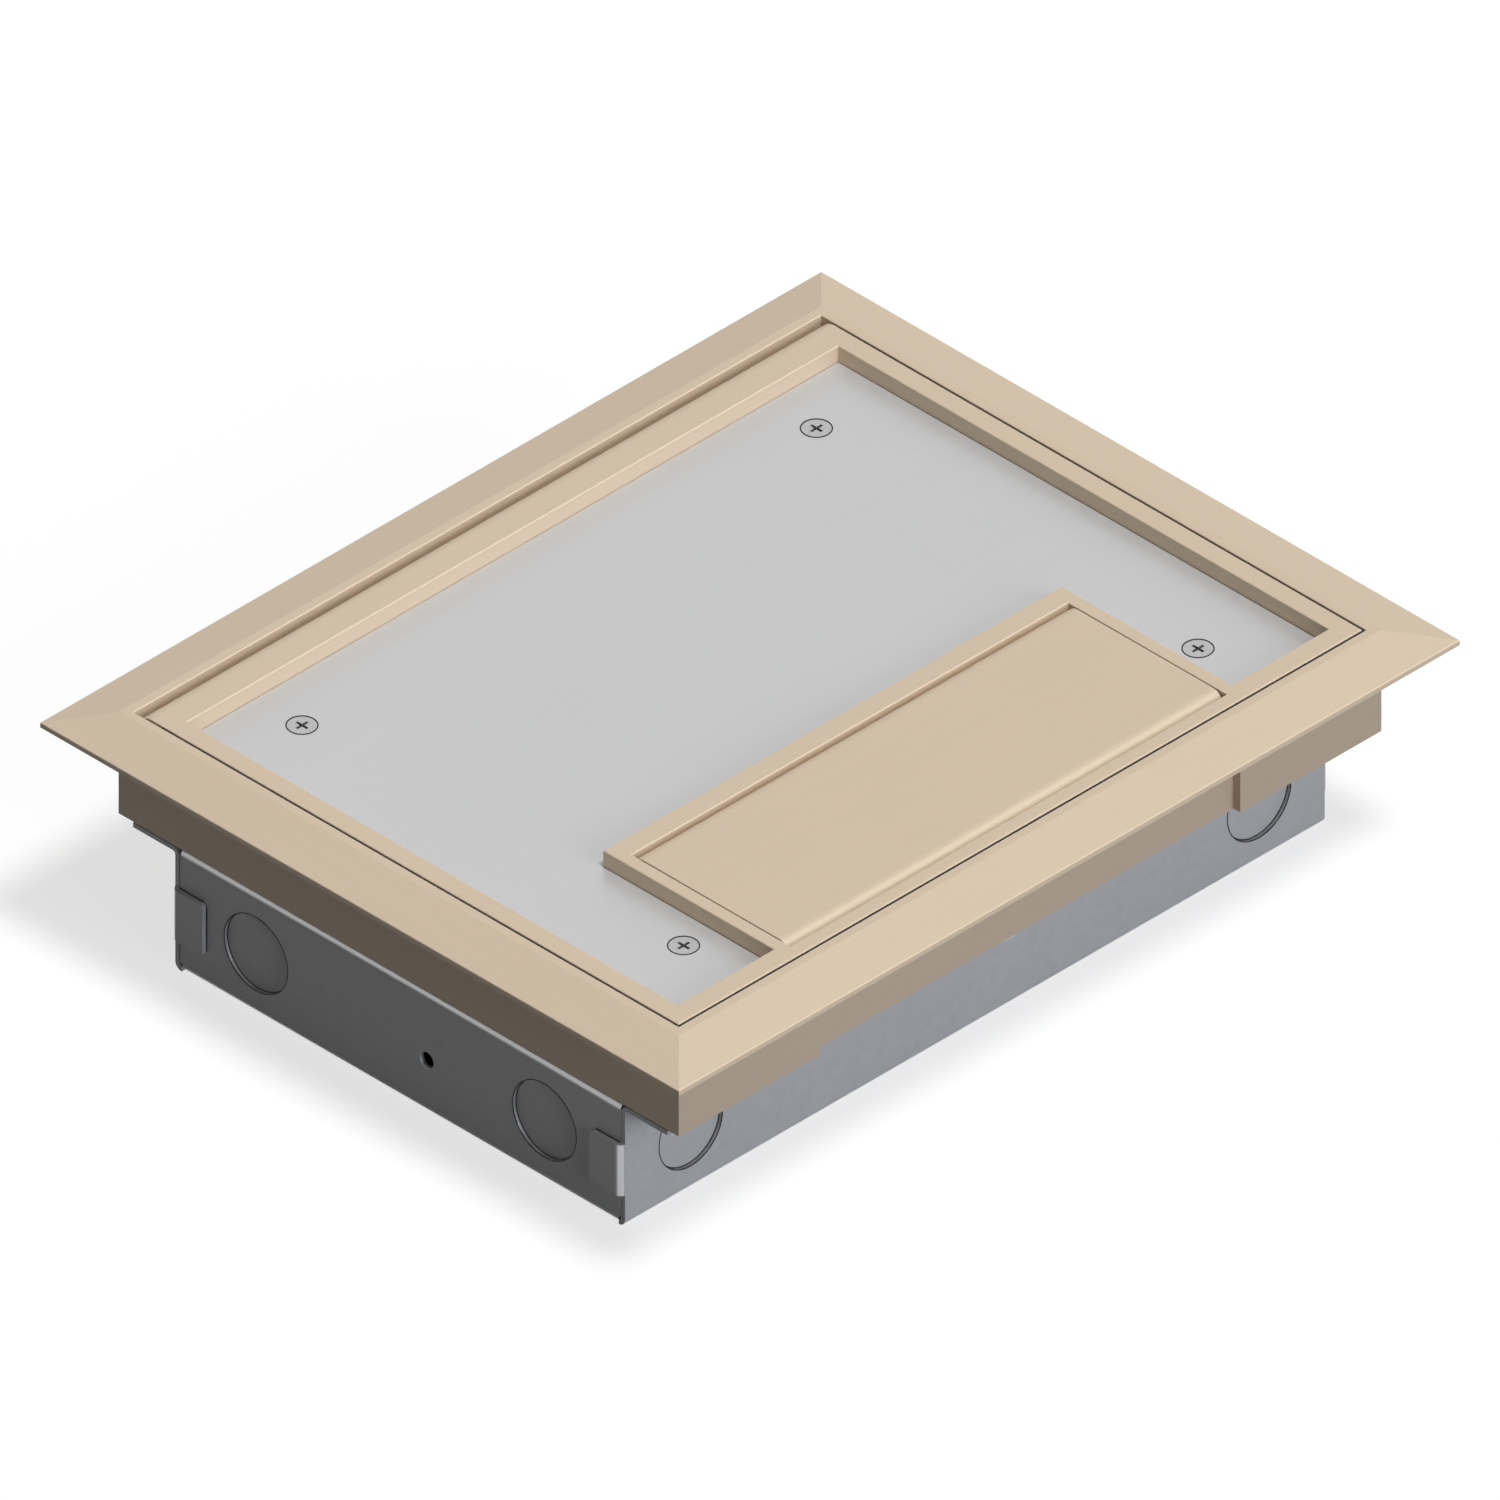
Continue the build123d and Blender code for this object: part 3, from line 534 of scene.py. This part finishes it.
@dataclass
class TrimFrame:
    """The bevelled frame round the lid, with what seals and fastens it to the box."""

    # Anodised over a fine brushing that follows the four sides.
    finish: BrushedMetal = field(default_factory=lambda: champagne(
        "champagne_anodised_frame", Grain.ROUND_FRAME, half_size_mm=(153.5, 125.5)))
    # Rubber sheet: black and dull.
    gasket: Moulding = Moulding("epdm_gasket", "#232323", metallic=0.0, roughness=0.75)
    # Closed-cell foam: black, matt, with open pores on its cut skin.
    foam: Moulding = Moulding("closed_cell_foam", "#262524", metallic=0.0, roughness=0.9, texture_mm=0.9,
                              relief_mm=0.12)
    # Bright zinc plate over turned steel: light, with soft reflections.
    fasteners: ZincSheet = ZincSheet("bright_zinc_plating", "#C3C3BE", metallic=0.9, roughness=0.3,
                                     crystal_mm=0.6)
    seal_round_mm: float = 0.5

    def build(self, frame: dict[str, Any]) -> None:
        """Dresses the frame, its gasket, its seal, and its screws, nuts and pins.

        Args:
            frame: the loaded frame.
        """
        dress(frame, self.finish.material(), "trim_frame")
        dress(frame, self.gasket.material(), "frame_gasket")
        dress(frame, self.foam.material(), "lid_seal")
        soften(frame, self.seal_round_mm, "lid_seal")
        dress(frame, self.fasteners.material(), "frame_screws", "frame_nuts", "lid_hinge_pin_left",
              "lid_hinge_pin_right")


@dataclass
class Lid:
    """The hinged lid: its frame with the flap's surround, the inlay plate, the screws and the clamp bars."""

    # The trim frame's anodising, with lines that follow the lid's own four sides.
    finish: BrushedMetal = field(default_factory=lambda: champagne(
        "champagne_anodised_lid_frame", Grain.ROUND_FRAME, half_size_mm=(134.3, 106.2)))
    # Brushed stainless sheet: neutral grey, long fine lines and broad faint bands.
    inlay: BrushedMetal = BrushedMetal("brushed_stainless_inlay", "#C6C6C6", metallic=0.3, roughness=0.42,
                                       length_mm=70.0)
    # Cold-headed stainless screws: a shade darker than the plate, with a satin head.
    screws: ZincSheet = ZincSheet("satin_stainless_screws", "#B9B9B9", metallic=0.7, roughness=0.35, crystal_mm=0.5)
    # Plated flat bar, cut to length: an even light grey with a soft shine.
    bars: ZincSheet = ZincSheet("zinc_plated_bars", "#B9B9B5", metallic=0.8, roughness=0.38, crystal_mm=1.0)
    # The fine gap round each countersunk head and the foot of each crossed slot: nearly black, painted shade.
    gap: Moulding = Moulding("painted_shade_in_screw_gap", "#1C1B1A", metallic=0.0, roughness=0.9)
    # A thin black strip round the lid's edge, in the gap to the frame: painted shade, black and dull.
    strip: Moulding = Moulding("painted_shade_edge_strip", "#161514", metallic=0.0, roughness=0.85)
    head_radius_mm: float = 4.25
    gap_mm: float = 0.4
    cross_half_length_mm: float = 2.15
    cross_half_width_mm: float = 0.45
    cross_floor_mm: float = 1.3
    cross_painted_shade_mm: float = 0.7
    strip_mm: float = 0.5
    strip_sink_mm: float = 0.5
    strip_height_mm: float = 2.6
    hinge_radius_mm: float = 4.5

    def edge_strip(self) -> bpy.types.Mesh:
        """Makes the strip of painted shade that runs along both sides and the front of the lid.

        Returns:
            The strip's mesh.
        """
        low, high = (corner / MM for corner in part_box("lid_frame"))
        rear = high[1] - 2 * self.hinge_radius_mm
        out = self.strip_mm
        outline = [(low[0], rear), (low[0] - out, rear), (low[0] - out, low[1] - out), (high[0] + out, low[1] - out),
                   (high[0] + out, rear), (high[0], rear), (high[0], low[1]), (low[0], low[1])]
        top = high[2] - self.strip_sink_mm
        return prism("lid_edge_strip", outline, top - self.strip_height_mm, top, Matrix.Identity(4))

    def screw_places(self) -> list[Vector]:
        """Finds the middle of each screw head, on its top.

        Returns:
            The four places in metres.
        """
        low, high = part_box("lid_screws")
        inset = self.head_radius_mm * MM
        return [Vector((x, y, high[2])) for x in (low[0] + inset, high[0] - inset)
                for y in (low[1] + inset, high[1] - inset)]

    def screw_gaps(self) -> bpy.types.Curve:
        """Draws the gap round each of the four heads, as rings of painted shade.

        Returns:
            The four rings as one curve.
        """
        rings = new_wire("screw_head_gaps", self.gap_mm / 2)
        for place in self.screw_places():
            add_circle(rings, place, Vector((0, 0, 1)), self.head_radius_mm + self.gap_mm / 2)
        return rings

    def recess_painted_shade(self, number: int, place: Vector) -> bpy.types.Mesh:
        """Makes the dark fill at the foot of a screw's crossed slots: painted shade in the recess.

        Args:
            number: which screw it is.
            place: the middle of the screw head, on its top.

        Returns:
            The fill's mesh.
        """
        long, short = self.cross_half_length_mm, self.cross_half_width_mm
        arm = ((long, -short), (long, short), (short, short))
        outline = [(Matrix.Rotation(quarter * QUARTER, 2) @ Vector(point)).to_tuple()
                   for quarter in range(4) for point in arm]
        return prism(f"screw_recess_painted_shade_{number}", outline, -self.cross_floor_mm, -self.cross_painted_shade_mm,
                     Matrix.Translation(place))

    def build(self, frame: dict[str, Any]) -> None:
        """Dresses the lid's nodes and marks its screws.

        Args:
            frame: the loaded frame.
        """
        dress(frame, self.finish.material(), "lid_frame")
        dress(frame, self.inlay.material(), "lid_plate")
        dress(frame, self.screws.material(), "lid_screws", "flap_hinge_pin_left", "flap_hinge_pin_right")
        dress(frame, self.bars.material(), "clamp_bar_left", "clamp_bar_right")
        # The gap rings and the slot fills are nearly black pieces of painted shade.
        painted_shade = self.gap.material()
        add_piece("screw_head_gaps", self.screw_gaps(), painted_shade, "lid")
        for number, place in enumerate(self.screw_places(), 1):
            mesh = self.recess_painted_shade(number, place)
            add_piece(mesh.name, mesh, painted_shade, "lid")
        # The edge strip is a black piece of painted shade in the gap round the lid.
        add_piece("lid_edge_strip", self.edge_strip(), self.strip.material(), "lid")


@dataclass
class CableFlap:
    """The flap that lets the leads out while the lid is closed."""

    # The same anodising again, brushed straight along the flap.
    finish: BrushedMetal = field(default_factory=lambda: champagne("champagne_anodised_flap", Grain.ALONG_X))

    def build(self, frame: dict[str, Any]) -> None:
        """Dresses the flap.

        Args:
            frame: the loaded frame.
        """
        dress(frame, self.finish.material(), "flap")


@dataclass
class SteelBox:
    """The folded box under the frame, with its end panels, dividers and knockouts."""

    # Hot-dip galvanised sheet: mid grey with small spangles, brighter on folds and edges, partly zinc burnished by
    # the folding tool and partly a painted highlight.
    sheet: ZincSheet = ZincSheet("hot_dip_galvanised_sheet", "#C4C4C4", metallic=0.05, roughness=0.52, specular=0.25,
                                 wear_and_highlight=WornAndHighlightedEdges("#C8C8C8", metallic=0.6, roughness=0.34))
    # The cut round each knockout: a real sheared line, drawn nearly black as painted shade in the cut.
    shear: Moulding = Moulding("sheared_line_painted_shade", "#242424", metallic=0.2, roughness=0.7)
    # The hairline gap between each folded tab and its end panel: a nearly black wire of painted shade.
    seam: Moulding = Moulding("painted_shade_in_tab_seam", "#171717", metallic=0.0, roughness=0.9)
    edge_round_mm: float = 0.25
    knockout_radius_mm: float = 12.5
    knockout_depth_mm: float = 1.2
    cut_mm: float = 0.35
    seam_mm: float = 0.4
    panel_face_mm: float = 137.5
    tab_root_mm: float = 86.5
    tab_end_mm: float = 76.0
    tab_low_mm: float = 10.8
    tab_high_mm: float = 28.1
    tab_corner_mm: float = 1.2

    def seam_lines(self) -> bpy.types.Curve:
        """Draws the hairline gap along the free edges of the four tabs, as lines of painted shade.

        Returns:
            All the lines as one curve.
        """
        lines = new_wire("tab_seam_lines", self.seam_mm / 2)
        end, corner = self.tab_end_mm, self.tab_corner_mm
        outline = ((self.tab_root_mm, self.tab_high_mm), (end + corner, self.tab_high_mm),
                   (end, self.tab_high_mm - corner), (end, self.tab_low_mm + corner),
                   (end + corner, self.tab_low_mm), (self.tab_root_mm, self.tab_low_mm))
        for x in (-1, 1):
            for y in (-1, 1):
                face = x * (self.panel_face_mm + self.seam_mm / 2)
                add_line(lines, [Vector((face, y * along, height)) * MM for along, height in outline])
        return lines

    def shear_lines(self, frame: dict[str, Any]) -> bpy.types.Curve:
        """Draws the sheared line at the rim and at the root of each knockout, nearly black as painted shade.

        Args:
            frame: the loaded frame.

        Returns:
            All the lines as one curve.
        """
        lines = new_wire("knockout_shear_lines", self.cut_mm / 2)
        for mount in frame["record"]["mounts"]:
            if "knockout" in mount["name"]:
                centre, axis = Vector(mount["pos_m"]), Vector(mount["axis"])
                add_circle(lines, centre, axis, self.knockout_radius_mm)
                root = centre - axis * self.knockout_depth_mm * MM
                add_circle(lines, root, axis, self.knockout_radius_mm - self.cut_mm / 2)
        return lines

    def build(self, frame: dict[str, Any]) -> None:
        """Dresses the box's nodes and adds the sheared lines.

        Args:
            frame: the loaded frame.
        """
        panels = ("end_panel_left", "end_panel_right", "divider_left", "divider_right")
        dress(frame, self.sheet.material(), "box_channel", *panels)
        soften(frame, self.edge_round_mm, *panels)
        # The knockout rings are real cut lines, drawn nearly black as painted shade.
        add_piece("knockout_shear_lines", self.shear_lines(frame), self.shear.material(), "root")
        # The tab seam lines are painted shade.
        add_piece("tab_seam_lines", self.seam_lines(), self.seam.material(), "root")


@dataclass
class AccessoryDeck:
    """The plates inside the box, with the socket outlets, the data outlets and the earth terminal."""

    # Electro-plated zinc: finer and more even than the box.
    plates: ZincSheet = ZincSheet("electro_zinc_plates", "#B7B8B9", metallic=0.5, roughness=0.42, crystal_mm=1.2)
    # Dull nickel plate over cold-headed steel: warmer and darker than the plates, so that the heads stand out.
    screws: ZincSheet = ZincSheet("dull_nickel_plating", "#8F8B82", metallic=0.8, roughness=0.32, crystal_mm=0.5)
    # Urea moulding: a hard clean white with a soft gloss.
    white: Moulding = Moulding("white_urea_moulding", "#E6E5E0", metallic=0.0, roughness=0.3)
    # Moulded polycarbonate: mid grey, duller than the fronts.
    grey: Moulding = Moulding("grey_polycarbonate_housing", "#8E8E8C", metallic=0.0, roughness=0.5)
    # Moulded nylon: brick red with a waxy shine.
    red: Moulding = Moulding("red_nylon_shutter", "#B5402A", metallic=0.0, roughness=0.45)
    # Pad-printed ink: a flat clear red.
    mark: Moulding = Moulding("red_printing_ink", "#C0261E", metallic=0.0, roughness=0.5)
    # Rolled brass strip: yellow, with clear reflections.
    brass: ZincSheet = ZincSheet("rolled_brass", "#C9A45A", metallic=0.9, roughness=0.3, crystal_mm=0.8)
    # Gold flash over phosphor bronze: warm and bright.
    gold: ZincSheet = ZincSheet("gold_flashed_contacts", "#D9B25A", metallic=1.0, roughness=0.22, crystal_mm=0.4)
    jack_count: int = 4
    jack_pitch_mm: float = 36.0
    mouth_width_mm: float = 7.6
    wire_count: int = 8
    wire_pitch_mm: float = 1.02
    wire_radius_mm: float = 0.22
    wire_order: int = 3
    # How far each contact wire stands off the mouth's front wall, and how deep it lies there.
    wire_path_mm: tuple[tuple[float, float], ...] = ((0.3, 1.0), (1.0, 1.3), (5.9, 4.4), (5.4, 6.4))
    mark_length_mm: float = 4.6
    mark_width_mm: float = 1.3
    mark_height_mm: float = 0.06
    mark_inset_mm: float = 2.0
    rocker_slope_deg: float = 10.0
    # The raised end's edge is rounded off, so the slope itself would end this much higher than the node does.
    rocker_corner_mm: float = 0.077

    def jack_wires(self) -> bpy.types.Curve:
        """Draws the springy contact wires of the data outlets.

        Returns:
            All the wires as one curve.
        """
        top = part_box("data_jacks")[1][2]
        wires = new_wire("data_contact_wires", self.wire_radius_mm)
        for jack in range(self.jack_count):
            wall = self.jack_pitch_mm * (jack - (self.jack_count - 1) / 2) - self.mouth_width_mm / 2
            for number in range(self.wire_count):
                x = self.wire_pitch_mm * (number - (self.wire_count - 1) / 2)
                wire = wires.splines.new("NURBS")
                wire.points.add(len(self.wire_path_mm) - 1)
                for point, (off, depth) in zip(wire.points, self.wire_path_mm):
                    point.co = (x * MM, (wall + off) * MM, top - depth * MM, 1)
                wire.order_u = self.wire_order
                wire.use_endpoint_u = True
        return wires

    def rocker_mark(self, node: str, towards: int) -> bpy.types.Mesh:
        """Makes the small red mark on the raised end of a switch rocker.

        Args:
            node: the rocker's node.
            towards: 1 where the raised end is at the rear, -1 where it is at the front.

        Returns:
            The mark's mesh.
        """
        low, high = (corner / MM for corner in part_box(node))
        slope = math.radians(self.rocker_slope_deg)
        back = self.mark_inset_mm + self.mark_width_mm / 2
        top = high[2] + self.rocker_corner_mm - back * math.tan(slope)
        end = (high if towards > 0 else low)[1]
        middle = Vector(((low[0] + high[0]) / 2, end - towards * back, top)) * MM
        outline = rounded_outline(self.mark_length_mm, self.mark_width_mm, self.mark_width_mm / 2)
        return prism(f"{node}_mark", outline, -self.mark_height_mm, self.mark_height_mm,
                     Matrix.Translation(middle) @ Matrix.Rotation(towards * slope, 4, "X"))

    def build(self, frame: dict[str, Any]) -> None:
        """Dresses the plates and the outlets, and adds the contact wires and the switch marks.

        Args:
            frame: the loaded frame.
        """
        nodes = frame["nodes"]
        dress(frame, self.plates.material(), "power_plate_left", "power_plate_right", "data_plate", "plate_pillars")
        dress(frame, self.screws.material(), "plate_screws")
        dress(frame, self.white.material(), "data_jacks",
              *[name for name in nodes if name.startswith(("socket_face", "rocker"))])
        dress(frame, self.grey.material(), *[name for name in nodes if name.startswith("socket_base")])
        dress(frame, self.red.material(), *[name for name in nodes if name.startswith("shutter")])
        dress(frame, self.brass.material(), "earth_terminal",
              *[name for name in nodes if name.startswith("socket_contacts")])
        add_piece("data_contact_wires", self.jack_wires(), self.gold.material(), "root")
        ink = self.mark.material()
        for side in SIDES:
            for row, towards in zip(ROWS, (-1, 1)):
                rocker = f"rocker_{side}_{row}"
                add_piece(f"{rocker}_mark", self.rocker_mark(rocker, towards), ink, rocker)


@dataclass(frozen=True)
class Lamp:
    """One soft lamp, far enough away to light everything alike, and whether shiny surfaces mirror it."""

    name: str
    towards: tuple[float, float, float]
    strength: float
    softness: float
    colour: str = WHITE
    mirrored: bool = True


@dataclass
class Studio:
    """The pale floor, the soft lights and the camera, none of which is part of the object."""

    floor_half: float = 3.0
    floor_drop_mm: float = 0.2
    floor_colour: str = WHITE
    floor_glow: float = 0.62
    floor_glow_strength: float = 1.1
    floor_bounce: str = "#3C3C3C"
    frame_width: float = 0.4169
    target: tuple[float, float, float] = (0.0, 0.0, 0.0496)
    view_from: tuple[float, float, float] = (-1.0, -1.0, 1.0)
    distance: float = 1.5
    sight: float = 20.0
    backdrop: float = 1.0
    ambient: float = 0.05
    lamps: tuple[Lamp, ...] = (
        Lamp("key", towards=(0.0, -0.34, 0.94), strength=2.3, softness=14.0),
        Lamp("front_fill", towards=(0.0, -0.95, 0.31), strength=1.65, softness=40.0, colour="#F0F4FF"),
        Lamp("back_fill", towards=(0.68, 0.72, 0.1), strength=0.8, softness=60.0, mirrored=False))

    def camera(self) -> None:
        """Makes the camera of the picture: level edges at 30 degrees, with no perspective."""
        data = bpy.data.cameras.new("camera")
        data.type = "ORTHO"
        data.ortho_scale = self.frame_width
        data.clip_end = self.sight
        camera = bpy.data.objects.new("camera", data)
        bpy.context.scene.collection.objects.link(camera)
        towards = Vector(self.view_from).normalized()
        camera.location = Vector(self.target) + towards * self.distance
        camera.rotation_mode = "QUATERNION"
        camera.rotation_quaternion = (-towards).to_track_quat("-Z", "Y")
        bpy.context.scene.camera = camera

    def seen(self, tree: bpy.types.NodeTree) -> bpy.types.NodeSocket:
        """Tells the rays that see the surroundings, straight or mirrored, from those that only gather light.

        Args:
            tree: the node tree.

        Returns:
            1 for a camera, glossy or transmission ray, and 0 for any other.
        """
        path = add_node(tree, "ShaderNodeLightPath").outputs
        straight = add_node(tree, "ShaderNodeMath", {0: path["Is Camera Ray"], 1: path["Is Glossy Ray"]},
                            operation="MAXIMUM")
        return add_node(tree, "ShaderNodeMath", {0: straight.outputs[0], 1: path["Is Transmission Ray"]},
                        operation="MAXIMUM").outputs[0]

    def floor(self) -> None:
        """Lays the pale floor, which takes the object's shadow."""
        mesh = bpy.data.meshes.new("floor")
        half = self.floor_half
        corners = [(-half, -half, 0), (half, -half, 0), (half, half, 0), (-half, half, 0)]
        mesh.from_pydata(corners, [], [(0, 1, 2, 3)])
        floor = bpy.data.objects.new("floor", mesh)
        # A hair lower than the object's underside, so that the two never show through each other.
        floor.location.z = -self.floor_drop_mm * MM
        bpy.context.scene.collection.objects.link(floor)
        material = bpy.data.materials.new("pale_floor")
        material.use_nodes = True
        tree = material.node_tree
        tree.nodes.clear()
        paint = add_node(tree, "ShaderNodeBsdfDiffuse", {"Color": linear(self.floor_colour)})
        glow = add_node(tree, "ShaderNodeEmission", {"Color": linear(WHITE), "Strength": self.floor_glow_strength})
        pale = add_node(tree, "ShaderNodeMixShader", {0: self.floor_glow, 1: paint.outputs[0], 2: glow.outputs[0]})
        # The object gets less light back from the floor than the eye does, so its sides stay darker than its top.
        dim = add_node(tree, "ShaderNodeBsdfDiffuse", {"Color": linear(self.floor_bounce)})
        mix = add_node(tree, "ShaderNodeMixShader", {0: self.seen(tree), 1: dim.outputs[0], 2: pale.outputs[0]})
        add_node(tree, "ShaderNodeOutputMaterial", {"Surface": mix.outputs[0]})
        mesh.materials.append(material)

    def world(self) -> None:
        """Makes the surroundings: white where they are seen or mirrored, and a soft grey light elsewhere."""
        world = bpy.data.worlds.new("studio")
        bpy.context.scene.world = world
        world.use_nodes = True
        tree = world.node_tree
        tree.nodes.clear()
        soft = add_node(tree, "ShaderNodeBackground", {"Color": linear(WHITE), "Strength": self.ambient})
        white = add_node(tree, "ShaderNodeBackground", {"Color": linear(WHITE), "Strength": self.backdrop})
        mix = add_node(tree, "ShaderNodeMixShader", {0: self.seen(tree), 1: soft.outputs[0], 2: white.outputs[0]})
        add_node(tree, "ShaderNodeOutputWorld", {"Surface": mix.outputs[0]})

    def light(self, lamp: Lamp) -> None:
        """Adds one soft distant lamp.

        Args:
            lamp: the lamp's place and strength.
        """
        data = bpy.data.lights.new(lamp.name, "SUN")
        data.energy = lamp.strength
        data.angle = math.radians(lamp.softness)
        data.color = linear(lamp.colour)[:3]
        light = bpy.data.objects.new(lamp.name, data)
        bpy.context.scene.collection.objects.link(light)
        light.visible_glossy = lamp.mirrored
        light.rotation_mode = "QUATERNION"
        light.rotation_quaternion = (-Vector(lamp.towards)).to_track_quat("-Z", "Y")

    def build(self) -> None:
        """Makes the camera, the floor, the surroundings and the lamps."""
        self.camera()
        self.floor()
        self.world()
        for lamp in self.lamps:
            self.light(lamp)
        bpy.context.scene.view_settings.view_transform = "Standard"


def main() -> None:
    """Builds the studio and every sub-assembly."""
    logging.basicConfig(level=logging.INFO, format="%(name)s: %(message)s")
    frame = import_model()
    Studio().build()
    for assembly in (TrimFrame(), Lid(), CableFlap(), SteelBox(), AccessoryDeck()):
        LOG.info("building %s", type(assembly).__name__)
        assembly.build(frame)


if __name__ == "__main__":
    main()
